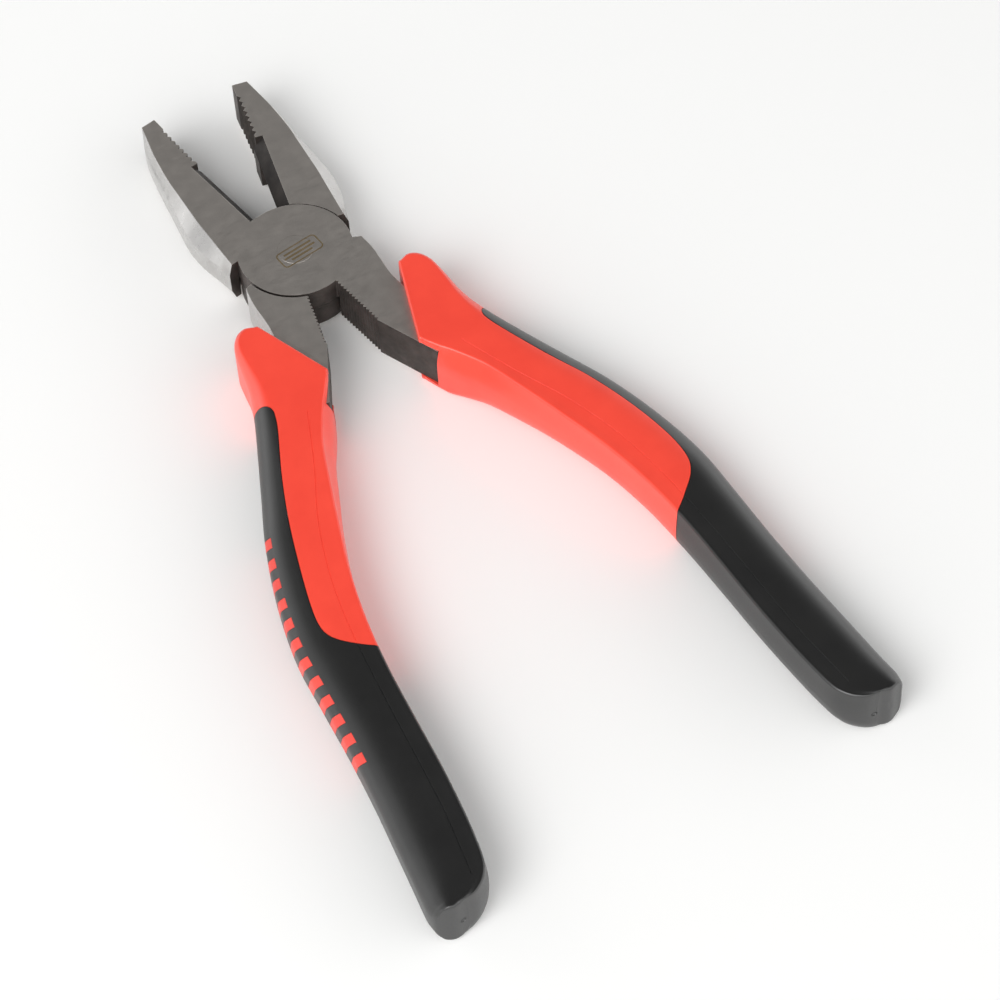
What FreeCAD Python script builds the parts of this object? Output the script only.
"""Lineman pliers as a parametric FreeCAD document, in millimetres.

Row frame: the origin is on the pivot axis, at the underside of the head. +Y runs along the
line of symmetry to the jaw tips, +Z is up through the head. Each lever is drawn closed, with
its gripping line on the Y axis, and its Placement turns it open about the pivot.
"""

import math
import os

import FreeCAD
import Part
import Sketcher

SIZES = {
    # head
    "head_thickness": 11.0,
    "boss_radius": 12.3,
    "seat_radius": 12.62,
    "seat_shift": 0.2,
    "lap_gap": 0.04,
    "half_opening": 11.06,
    "rivet_radius": 3.8,
    "rivet_head_radius": 5.2,
    "rivet_head_depth": 1.4,
    "rivet_running_gap": 0.04,
    "running_bore_radius": 3.84,
    "recess_radius": 5.24,
    # jaw, all measured from the pivot with the jaws closed
    "jaw_length": 48.8,
    "tip_gap": 0.04,
    "tip_width": 3.5,
    "nose_x": 5.6,
    "nose_y": 45.4,
    "cheek_x": 9.7,
    "cheek_y": 33.5,
    "belly_end_x": 12.9,
    "belly_end_y": 22.9,
    "belly_x": 14.1,
    "belly_y": 14.5,
    "shoulder_x": 13.4,
    "shoulder_y": 5.6,
    "shoulder_inner_x": 10.4,
    "root_x": 7.0,
    "root_y": 3.0,
    # cutter and gripping teeth
    "grip_relief": 0.68,
    "grip_end_y": 32.7,
    "cutter_width": 2.35,
    "cutter_gap": 0.03,
    "cutter_edge_height": 7.6,
    "cutter_root_y": 10.2,
    "under_notch_y": 28.2,
    "tooth_pitch": 1.5,
    "tooth_depth": 0.75,
    "tooth_count": 8,
    "tooth_lean": 2.3,
    "tooth_start": 0.75,
    # outer facet of the jaw
    "facet_run": 3.3,
    "facet_depth": 3.0,
    "facet_near_y": 4.0,
    "facet_near_x": 12.4,
    "facet_far_y": 41.0,
    "facet_far_x": 6.9,
    # shank behind the pivot, distances back from the pivot
    "heel_inner_x": 8.0,
    "heel_inner_y": 3.5,
    "heel_x": 12.7,
    "heel_y": 6.5,
    "flank_x": 12.4,
    "flank_y": 11.0,
    "waist_x": 10.8,
    "waist_y": 19.5,
    "bend_x": 11.4,
    "bend_y": 27.7,
    "neck_outer_x": 14.6,
    "neck_outer_y": 37.0,
    "neck_inner_x": 4.9,
    "neck_inner_y": 41.0,
    "pipe_x": 0.9,
    "pipe_start_y": 11.9,
    "pipe_end_y": 26.2,
    "pipe_pitch": 0.93,
    "pipe_depth": 0.45,
    "pipe_count": 15,
    # tang inside the grip
    "tang_thickness": 6.0,
    "tang_half_width": 3.0,
    "tang_root_inner_x": 7.0,
    "tang_root_outer_x": 12.5,
    # grip, closed, distances back from the pivot
    "grip_thickness": 14.2,
    "grip_edge_radius": 2.5,
    "left_bow": 0.0,
    "right_bow": 1.0,
    "bow_start_y": 40.0,
    "bow_end_y": 155.0,
    "end_outer_x": 21.2,
    "end_outer_y": 160.6,
    "end_x": 16.8,
    "end_y": 163.4,
    "end_inner_x": 10.6,
    "end_inner_y": 160.2,
    "flap_front_x": 13.0,
    "flap_front_y": 17.6,
    "flap_corner_x": 3.9,
    "left_flap_corner_y": 33.2,
    "right_flap_corner_y": 36.4,
    "guard_nose_x": 16.9,
    "guard_nose_y": 17.4,
    "guard_x": 19.3,
    "guard_y": 22.5,
    "guard_waist_x": 19.3,
    "guard_waist_y": 33.0,
    "notch_y": 41.2,
    "mouth_y": 44.0,
    "mouth_inner": 4.3,
    "mouth_outer": 21.0,
    "neck_y": 56.0,
    "neck_inner": 7.9,
    "neck_outer": 23.9,
    "slope_y": 69.0,
    "slope_inner": 10.7,
    "slope_outer": 27.0,
    "swell_y": 83.0,
    "swell_inner": 12.6,
    "swell_outer": 28.5,
    "palm_y": 97.0,
    "palm_inner": 12.6,
    "palm_outer": 28.5,
    "wrist_y": 115.0,
    "wrist_inner": 11.0,
    "wrist_outer": 26.4,
    "tail_y": 134.5,
    "tail_inner": 8.7,
    "tail_outer": 23.7,
    "heel_end_y": 150.5,
    "heel_end_inner": 7.9,
    "heel_end_outer": 22.4,
    # edge between the sleeve and the overmould
    "strip_front_y": 36.6,
    "strip_tip_y": 37.6,
    "strip_tip_x": 16.6,
    "strip_neck": 19.4,
    "strip_slope": 21.6,
    "strip_swell": 22.8,
    "sweep_y": 95.3,
    "sweep_x": 21.8,
    "left_strip_shift": 0.0,
    "right_strip_shift": 2.0,
    "slab_margin": 1.0,
    "seam_y": 102.0,
    "zone_x": 45.0,
    "zone_y": 175.0,
    # inlaid bars on the outer side
    "bar_depth": 0.8,
    "bar_height": 9.4,
    "bar_width": 2.4,
    "bar_slant": 3.2,
    "bar_pitch": 4.9,
    "bar_start_y": 67.0,
    "bar_count": 12,
}

STATIONS = ["mouth", "neck", "slope", "swell", "palm", "wrist", "tail", "heel_end"]


def make_document():
    """A document with one sheet that holds every size under its own name."""
    document = FreeCAD.newDocument("lineman_pliers")
    sheet = document.addObject("Spreadsheet::Sheet", "Sizes")
    for row, (name, size) in enumerate(SIZES.items(), start=1):
        sheet.set("A%d" % row, name.replace("_", " "))
        sheet.set("B%d" % row, str(size))
        sheet.setAlias("B%d" % row, name)
    document.recompute()
    return document, sheet


# ---------------------------------------------------------------- sketch helpers

def term(sign, name):
    """One coordinate: its starting value and the expression that drives it."""
    return (sign * SIZES[name], "%d * Sizes.%s" % (sign, name))


def origin_plane(body, role):
    """One of the body's own origin planes."""
    for feature in body.Origin.OriginFeatures:
        if feature.Role == role:
            return feature
    raise ValueError(role)


def new_sketch(body, name, plane="XY_Plane", height="0"):
    """A sketch on one of the body's origin planes, lifted off it by an expression."""
    sketch = body.newObject("Sketcher::SketchObject", name)
    sketch.AttachmentSupport = [(origin_plane(body, plane), "")]
    sketch.MapMode = "FlatFace"
    sketch.setExpression(".AttachmentOffset.Base.z", height)
    return sketch


def bind_point(sketch, geometry, end, across, along):
    """Tie one point of a sketch to two expressions measured from the sketch's origin."""
    for kind, coordinate in (("DistanceX", across), ("DistanceY", along)):
        constraint = Sketcher.Constraint(kind, -1, 1, geometry, end, coordinate[0])
        index = sketch.addConstraint(constraint)
        sketch.setExpression("Constraints[%d]" % index, coordinate[1])


def spot(corner):
    """The starting position of a corner."""
    return FreeCAD.Vector(corner[0][0], corner[1][0], 0)


def draw_outline(sketch, corners, bulges=None):
    """A closed outline. bulges maps a corner's index to the point its arc passes through."""
    bulges = bulges or {}
    count = len(corners)
    ends = []
    for index in range(count):
        start = spot(corners[index])
        stop = spot(corners[(index + 1) % count])
        if index in bulges:
            middle = spot(bulges[index])
            sketch.addGeometry(Part.Arc(start, middle, stop))
            turns_left = (middle - start).cross(stop - middle).z > 0
            ends.append((1, 2) if turns_left else (2, 1))
        else:
            sketch.addGeometry(Part.LineSegment(start, stop))
            ends.append((1, 2))
    for index in range(count):
        following = (index + 1) % count
        joint = Sketcher.Constraint("Coincident", index, ends[index][1], following, ends[following][0])
        sketch.addConstraint(joint)
    for index, (across, along) in enumerate(corners):
        bind_point(sketch, index, ends[index][0], across, along)
    for index, (across, along) in bulges.items():
        guide = sketch.addGeometry(Part.Point(spot((across, along))), True)
        bind_point(sketch, guide, 1, across, along)
        sketch.addConstraint(Sketcher.Constraint("PointOnObject", guide, 1, index))


def draw_circle(sketch, radius, centre_y):
    """A circle centred on the sketch's vertical axis."""
    centre = FreeCAD.Vector(0, centre_y[0], 0)
    circle = sketch.addGeometry(Part.Circle(centre, FreeCAD.Vector(0, 0, 1), SIZES[radius]))
    size = sketch.addConstraint(Sketcher.Constraint("Radius", circle, SIZES[radius]))
    sketch.setExpression("Constraints[%d]" % size, "Sizes." + radius)
    bind_point(sketch, circle, 3, (0, "0"), centre_y)


def pad(body, name, sketch, length):
    """Material from the sketch upwards."""
    feature = body.newObject("PartDesign::Pad", name)
    feature.Profile = sketch
    feature.setExpression("Length", length)
    return feature


def pocket(body, name, sketch, length):
    """A cut from the sketch upwards."""
    feature = body.newObject("PartDesign::Pocket", name)
    feature.Profile = sketch
    feature.Reversed = True
    feature.setExpression("Length", length)
    return feature


# ---------------------------------------------------------------- levers

def half_above(side):
    """Where the lever's own half of the lap joint starts and where the other half starts."""
    own = "Sizes.head_thickness / 2 + Sizes.lap_gap / 2"
    return (own, "0") if side > 0 else ("0", "Sizes.head_thickness / 2 - Sizes.lap_gap / 2")


def add_boss(body, side):
    """The half-thickness disc that laps over the other lever."""
    sketch = new_sketch(body, "boss_sketch", height=half_above(side)[0])
    draw_circle(sketch, "boss_radius", (0, "0"))
    pad(body, "boss", sketch, "Sizes.head_thickness / 2 - Sizes.lap_gap / 2")


def add_jaw(body, side):
    """The full-thickness jaw, drawn closed against the Y axis."""
    sketch = new_sketch(body, "jaw_sketch")
    corners = [
        (term(-side, "cutter_gap"), term(1, "cutter_root_y")),
        (term(-side, "cutter_gap"), term(1, "grip_end_y")),
        (term(-side, "grip_relief"), term(1, "grip_end_y")),
        (term(-side, "tip_gap"), term(1, "jaw_length")),
        (term(-side, "tip_width"), term(1, "jaw_length")),
        (term(-side, "nose_x"), term(1, "nose_y")),
        (term(-side, "cheek_x"), term(1, "cheek_y")),
        (term(-side, "belly_end_x"), term(1, "belly_end_y")),
        (term(-side, "shoulder_x"), term(1, "shoulder_y")),
        (term(-side, "shoulder_inner_x"), term(1, "shoulder_y")),
        (term(-side, "root_x"), term(1, "root_y")),
    ]
    belly = (term(-side, "belly_x"), term(1, "belly_y"))
    draw_outline(sketch, corners, {7: belly})
    pad(body, "jaw", sketch, "Sizes.head_thickness")


def add_shank(body, side):
    """The full-thickness shank behind the pivot, as far as the mouth of the grip."""
    sketch = new_sketch(body, "shank_sketch")
    corners = [
        (term(side, "pipe_x"), term(-1, "heel_y")),
        (term(side, "pipe_x"), term(-1, "pipe_end_y")),
        (term(side, "neck_inner_x"), term(-1, "neck_inner_y")),
        (term(side, "neck_outer_x"), term(-1, "neck_outer_y")),
        (term(side, "bend_x"), term(-1, "bend_y")),
        (term(side, "waist_x"), term(-1, "waist_y")),
        (term(side, "flank_x"), term(-1, "flank_y")),
        (term(side, "heel_x"), term(-1, "heel_y")),
        (term(side, "heel_inner_x"), term(-1, "heel_inner_y")),
    ]
    draw_outline(sketch, corners)
    pad(body, "shank", sketch, "Sizes.head_thickness")


def tang_edge(side, station, outward):
    """One corner of the tang, beside the centre line of the grip at a station."""
    inner = SIZES[station + "_inner"]
    outer = SIZES[station + "_outer"]
    across = side * ((inner + outer) / 2 + outward * SIZES["tang_half_width"])
    middle = "(Sizes.%s_inner + Sizes.%s_outer) / 2" % (station, station)
    words = "%d * (%s + %d * Sizes.tang_half_width)" % (side, middle, outward)
    return ((across, words), term(-1, station + "_y"))


def add_tang(body, side):
    """The flat bar that carries the grip."""
    sketch = new_sketch(body, "tang_sketch", height="(Sizes.head_thickness - Sizes.tang_thickness) / 2")
    stations = ["neck", "slope", "swell", "palm", "wrist"]
    corners = [(term(side, "tang_root_inner_x"), term(-1, "neck_outer_y"))]
    corners += [tang_edge(side, station, -1) for station in stations]
    corners += [tang_edge(side, station, 1) for station in reversed(stations)]
    corners += [(term(side, "tang_root_outer_x"), term(-1, "neck_outer_y"))]
    draw_outline(sketch, corners)
    pad(body, "tang", sketch, "Sizes.tang_thickness")


def cut_seat(body, side):
    """The round seat in which the other lever's boss turns."""
    sketch = new_sketch(body, "seat_sketch", height=half_above(side)[1])
    draw_circle(sketch, "seat_radius", (-SIZES["seat_shift"], "-1 * Sizes.seat_shift"))
    pocket(body, "seat", sketch, "Sizes.head_thickness / 2 + Sizes.lap_gap / 2")


def cut_bore(body, radius, depth_radius):
    """The rivet's bore, and a recess for its head if one is given."""
    sketch = new_sketch(body, "bore_sketch")
    draw_circle(sketch, radius, (0, "0"))
    pocket(body, "bore", sketch, "Sizes.head_thickness")
    if depth_radius:
        sketch = new_sketch(body, "recess_sketch")
        draw_circle(sketch, depth_radius, (0, "0"))
        pocket(body, "recess", sketch, "Sizes.rivet_head_depth + Sizes.rivet_running_gap")


def cut_wedge(body, name, near, far):
    """A straight-sided wedge between two triangles that stand across the jaw."""
    sections = []
    for place, (distance, corners) in (("near", near), ("far", far)):
        sketch = new_sketch(body, "%s_%s_sketch" % (name, place), "XZ_Plane", "-1 * Sizes." + distance)
        draw_outline(sketch, corners)
        sections.append(sketch)
    feature = body.newObject("PartDesign::SubtractiveLoft", name)
    feature.Profile = sections[0]
    feature.Sections = [sections[1]]
    feature.Ruled = True


def cut_cutter(body, side):
    """The two bevels that meet in the cutting edge."""
    edge = term(-side, "cutter_gap")
    rib = term(-side, "cutter_width")
    past = term(side, "cutter_gap")
    level = term(1, "cutter_edge_height")
    upper_root = "boss_radius" if side > 0 else "cutter_root_y"
    under_root = "cutter_root_y" if side > 0 else "boss_radius"
    for name, face, root, notch in (
        ("upper_bevel", term(1, "head_thickness"), upper_root, "grip_end_y"),
        ("under_bevel", (0, "0"), under_root, "under_notch_y"),
    ):
        triangle = [(edge, level), (rib, face), (past, face)]
        cut_wedge(body, name, (root, triangle), (notch, triangle))


def cut_facets(body, side):
    """The ground facets along the outer edges of the jaw, above and below."""
    top = SIZES["head_thickness"]
    for name, face, level in (
        ("upper_facet", (top, "Sizes.head_thickness"),
         (top - 2 * SIZES["facet_depth"], "Sizes.head_thickness - 2 * Sizes.facet_depth")),
        ("under_facet", (0, "0"), (2 * SIZES["facet_depth"], "2 * Sizes.facet_depth")),
    ):
        ends = []
        for place in ("near", "far"):
            line = "facet_%s_x" % place
            reach = -side * (SIZES[line] + 2 * SIZES["facet_run"])
            words = "%d * (Sizes.%s + 2 * Sizes.facet_run)" % (-side, line)
            triangle = [(term(-side, line), face), ((reach, words), face), ((reach, words), level)]
            ends.append(("facet_%s_y" % place, triangle))
        cut_wedge(body, name, ends[0], ends[1])


def cut_teeth(body, name, first, lean, side, sizes):
    """A row of V grooves. side is +1 where the metal lies to the right of the row."""
    pitch, depth, count = sizes
    sketch = new_sketch(body, name + "_sketch")
    sketch.setExpression(".AttachmentOffset.Base.x", first[0])
    sketch.setExpression(".AttachmentOffset.Base.y", first[1])
    sketch.setExpression(".AttachmentOffset.Rotation.Angle", lean)
    root = (side * SIZES[depth], "%d * Sizes.%s" % (side, depth))
    mouth = (-side * SIZES[depth], "%d * Sizes.%s" % (-side, depth))
    middle = (SIZES[pitch] / 2, "Sizes.%s / 2" % pitch)
    draw_outline(sketch, [
        (mouth, (-SIZES[pitch] / 2, "-1 * Sizes.%s / 2" % pitch)),
        (root, middle),
        (mouth, (3 * SIZES[pitch] / 2, "3 * Sizes.%s / 2" % pitch)),
    ])
    groove = pocket(body, name + "_groove", sketch, "Sizes.head_thickness")
    body.Document.recompute()
    row = body.newObject("PartDesign::LinearPattern", name)
    row.Originals = [groove]
    row.Direction = (sketch, ["V_Axis"])
    row.setExpression("Length", "(Sizes.%s - 1) * Sizes.%s" % (count, pitch))
    row.setExpression("Occurrences", "Sizes." + count)
    body.Tip = row


def cut_grip_teeth(body, side):
    """The serrations on the gripping face, from its inner end towards the tip."""
    cut_teeth(
        body, "grip_teeth",
        ("%d * Sizes.grip_relief" % -side, "Sizes.grip_end_y + Sizes.tooth_start"),
        "%d * Sizes.tooth_lean" % side, -side,
        ("tooth_pitch", "tooth_depth", "tooth_count"),
    )


def cut_pipe_teeth(body, side):
    """The fine serrations between the shanks."""
    cut_teeth(
        body, "pipe_teeth",
        ("%d * Sizes.pipe_x" % side, "-1 * Sizes.pipe_end_y + Sizes.pipe_pitch"),
        "0", side,
        ("pipe_pitch", "pipe_depth", "pipe_count"),
    )


def make_lever(document, name, side):
    """One forged lever. side +1 has its jaw at -X, its shank at +X and the upper boss."""
    body = document.addObject("PartDesign::Body", name)
    add_boss(body, side)
    add_jaw(body, side)
    add_shank(body, side)
    add_tang(body, side)
    cut_seat(body, side)
    if side > 0:
        cut_bore(body, "rivet_radius", None)
    else:
        cut_bore(body, "running_bore_radius", "recess_radius")
    cut_cutter(body, side)
    cut_facets(body, side)
    cut_grip_teeth(body, side)
    cut_pipe_teeth(body, side)
    body.Label = name
    document.recompute()
    return body


def make_rivet(document):
    """The pivot rivet, flush with both faces, with its head in the lower lever."""
    body = document.addObject("PartDesign::Body", "pivot_rivet")
    sketch = new_sketch(body, "stem_sketch")
    draw_circle(sketch, "rivet_radius", (0, "0"))
    pad(body, "stem", sketch, "Sizes.head_thickness")
    sketch = new_sketch(body, "head_sketch")
    draw_circle(sketch, "rivet_head_radius", (0, "0"))
    pad(body, "rivet_head", sketch, "Sizes.rivet_head_depth")
    body.Label = "pivot_rivet"
    document.recompute()
    return body


# ---------------------------------------------------------------- grips

def size(sheet, name):
    """A size as it stands in the sheet."""
    return float(sheet.get(name))


def curve_through(points):
    """A smooth edge through plan points."""
    curve = Part.BSplineCurve()
    curve.interpolate(points)
    return curve.toShape()


def slab(edges, low, high):
    """A solid between two heights with the given plan outline."""
    wire = Part.Wire(Part.sortEdges(edges)[0])
    face = Part.Face(wire)
    face.translate(FreeCAD.Vector(0, 0, low))
    return face.extrude(FreeCAD.Vector(0, 0, high - low))


def plan_point(sheet, side, across, along):
    """A plan point from two names in the sheet, behind the pivot."""
    return FreeCAD.Vector(side * size(sheet, across), -size(sheet, along), 0)


def grip_span(sheet):
    """The heights of the grip's underside and top."""
    middle = size(sheet, "head_thickness") / 2
    half = size(sheet, "grip_thickness") / 2
    return middle - half, middle + half


def hand(side):
    """The name of the side a grip is on."""
    return "right" if side > 0 else "left"


def bowed(sheet, side, point):
    """A plan point moved outwards by the bow of its grip, most of all half way along."""
    start = size(sheet, "bow_start_y")
    share = (-point.y - start) / (size(sheet, "bow_end_y") - start)
    swing = math.sin(math.pi * min(1.0, max(0.0, share)))
    return point + FreeCAD.Vector(side * size(sheet, hand(side) + "_bow") * swing, 0, 0)


def outer_points(sheet, side):
    """The outer side of the grip, from the front of the guard to the last station."""
    points = [plan_point(sheet, side, "flap_front_x", "flap_front_y")]
    points.append(plan_point(sheet, side, "guard_nose_x", "guard_nose_y"))
    points.append(plan_point(sheet, side, "guard_x", "guard_y"))
    points.append(plan_point(sheet, side, "guard_waist_x", "guard_waist_y"))
    for station in STATIONS:
        point = plan_point(sheet, side, station + "_outer", station + "_y")
        points.append(bowed(sheet, side, point))
    return points


def inner_points(sheet, side):
    """The inner side of the grip, from the last station forwards to the mouth."""
    points = []
    for station in reversed(STATIONS):
        point = plan_point(sheet, side, station + "_inner", station + "_y")
        points.append(bowed(sheet, side, point))
    return points


def end_points(sheet, side):
    """The rounded end of the grip, from its outer side to its inner side."""
    names = ("end_outer", "end", "end_inner")
    return [plan_point(sheet, side, name + "_x", name + "_y") for name in names]


def grip_form(sheet, side):
    """The whole outside of one grip with rounded edges."""
    outer = outer_points(sheet, side)
    inner = inner_points(sheet, side)
    corner = plan_point(sheet, side, "flap_corner_x", hand(side) + "_flap_corner_y")
    edges = [
        curve_through(outer + end_points(sheet, side) + inner),
        Part.makeLine(inner[-1], corner),
        Part.makeLine(corner, outer[0]),
    ]
    low, high = grip_span(sheet)
    block = slab(edges, low, high)
    rims = [edge for edge in block.Edges if abs(edge.BoundBox.ZLength) < (high - low) / 2]
    return block.makeFillet(size(sheet, "grip_edge_radius"), rims)


def mouth_notch(sheet, side):
    """The space between the flaps on the inner side, ahead of the mouth of the sleeve."""
    back = -size(sheet, "notch_y")
    front = -size(sheet, "bend_y")
    reach = side * size(sheet, "flap_front_x")
    corners = [
        FreeCAD.Vector(-reach, back, 0),
        FreeCAD.Vector(reach / 2, back, 0),
        FreeCAD.Vector(reach / 2, front, 0),
        FreeCAD.Vector(-reach, front, 0),
    ]
    edges = [Part.makeLine(corners[i], corners[(i + 1) % 4]) for i in range(4)]
    return slab(edges, 0, size(sheet, "head_thickness"))


def overmould_zone(sheet, side):
    """Everything outside the line where the overmould meets the sleeve."""
    strip = [
        plan_point(sheet, side, "strip_tip_x", "strip_tip_y"),
        plan_point(sheet, side, "strip_neck", "neck_y"),
        plan_point(sheet, side, "strip_slope", "slope_y"),
        plan_point(sheet, side, "strip_swell", "swell_y"),
        plan_point(sheet, side, "sweep_x", "sweep_y"),
    ]
    shift = FreeCAD.Vector(side * size(sheet, hand(side) + "_strip_shift"), 0, 0)
    seam = [plan_point(sheet, side, "zone_x", "strip_front_y")]
    seam += [bowed(sheet, side, point + shift) for point in strip]
    seam.append(bowed(sheet, side, plan_point(sheet, side, "palm_inner", "seam_y")))
    seam.append(FreeCAD.Vector(0, -size(sheet, "wrist_y"), 0))
    far = plan_point(sheet, side, "zone_x", "zone_y")
    near = FreeCAD.Vector(0, -size(sheet, "zone_y"), 0)
    edges = [
        curve_through(seam),
        Part.makeLine(seam[-1], near),
        Part.makeLine(near, far),
        Part.makeLine(far, seam[0]),
    ]
    low, high = grip_span(sheet)
    margin = size(sheet, "slab_margin")
    return slab(edges, low - margin, high + margin)


def bar_prism(sheet, side, start):
    """One slanted bar, seen from the side of the grip, running right through it."""
    middle = size(sheet, "head_thickness") / 2
    half = size(sheet, "bar_height") / 2
    width = size(sheet, "bar_width")
    slant = size(sheet, "bar_slant")
    corners = [
        FreeCAD.Vector(0, -start, middle - half),
        FreeCAD.Vector(0, -start - width, middle - half),
        FreeCAD.Vector(0, -start - width - slant, middle + half),
        FreeCAD.Vector(0, -start - slant, middle + half),
    ]
    edges = [Part.makeLine(corners[i], corners[(i + 1) % 4]) for i in range(4)]
    face = Part.Face(Part.Wire(edges))
    return face.extrude(FreeCAD.Vector(side * size(sheet, "zone_x"), 0, 0))


def bar_skin(sheet, side):
    """The outermost layer of the grip's outer side, as deep as the bars are let in."""
    outer = outer_points(sheet, side)
    inset = FreeCAD.Vector(-side * size(sheet, "bar_depth"), 0, 0)
    reach = FreeCAD.Vector(side * size(sheet, "zone_x"), 0, 0)
    inside = curve_through([point + inset for point in outer])
    start = outer[0] + inset
    stop = outer[-1] + inset
    edges = [
        inside,
        Part.makeLine(stop, stop + reach),
        Part.makeLine(stop + reach, start + reach),
        Part.makeLine(start + reach, start),
    ]
    return slab(edges, 0, size(sheet, "head_thickness"))


def make_bars(sheet, side, overmould):
    """The row of separate bars let into the overmould."""
    skin = overmould.common(bar_skin(sheet, side))
    bars = []
    for index in range(int(size(sheet, "bar_count"))):
        start = size(sheet, "bar_start_y") + index * size(sheet, "bar_pitch")
        bars.extend(skin.common(bar_prism(sheet, side, start)).Solids)
    return Part.Compound(bars)


def add_shape(document, name, shape):
    """Keep a free-form shape as a document object."""
    feature = document.addObject("Part::Feature", name)
    feature.Shape = shape
    feature.Label = name
    return feature


def make_grip(document, sheet, lever, side):
    """The two moulded layers and the inlaid bars of one grip."""
    form = grip_form(sheet, side).cut(lever.Shape).cut(mouth_notch(sheet, side))
    zone = overmould_zone(sheet, side)
    sleeve = form.cut(zone)
    overmould = form.common(zone)
    bars = make_bars(sheet, side, overmould)
    overmould = overmould.cut(bars)
    return [
        add_shape(document, hand(side) + "_grip_sleeve", Part.Compound(sleeve.Solids)),
        add_shape(document, hand(side) + "_grip_overmould", Part.Compound(overmould.Solids)),
        add_shape(document, hand(side) + "_inlaid_bars", bars),
    ]


# ---------------------------------------------------------------- assembly and export

def turn_open(sheet, features, side):
    """Turn one half of the tool open about the pivot."""
    turn = FreeCAD.Rotation(FreeCAD.Vector(0, 0, 1), side * size(sheet, "half_opening"))
    for feature in features:
        feature.Placement = FreeCAD.Placement(FreeCAD.Vector(0, 0, 0), turn)


def check_document(document, features):
    """Stop if any object failed or any finished shape is broken."""
    for item in document.Objects:
        if "Invalid" in item.State or "Error" in item.State:
            raise RuntimeError("failed: " + item.Name)
    for feature in features:
        shape = feature.Shape
        if shape.isNull() or not shape.isValid() or not shape.Solids:
            raise RuntimeError("bad shape: " + feature.Label)
        print(feature.Label, len(shape.Solids), "solids", round(shape.Volume, 1), "mm3")


def main():
    """Build every piece, check it and write one STEP file for each node."""
    document, sheet = make_document()
    upper = make_lever(document, "upper_lever", 1)
    lower = make_lever(document, "lower_lever", -1)
    rivet = make_rivet(document)
    upper_set = [upper] + make_grip(document, sheet, upper, 1)
    lower_set = [lower] + make_grip(document, sheet, lower, -1)
    turn_open(sheet, upper_set, 1)
    turn_open(sheet, lower_set, -1)
    document.recompute()
    features = upper_set + lower_set + [rivet]
    check_document(document, features)
    os.makedirs("parts", exist_ok=True)
    for feature in features:
        feature.Shape.exportStep("parts/%s.step" % feature.Label)


main()
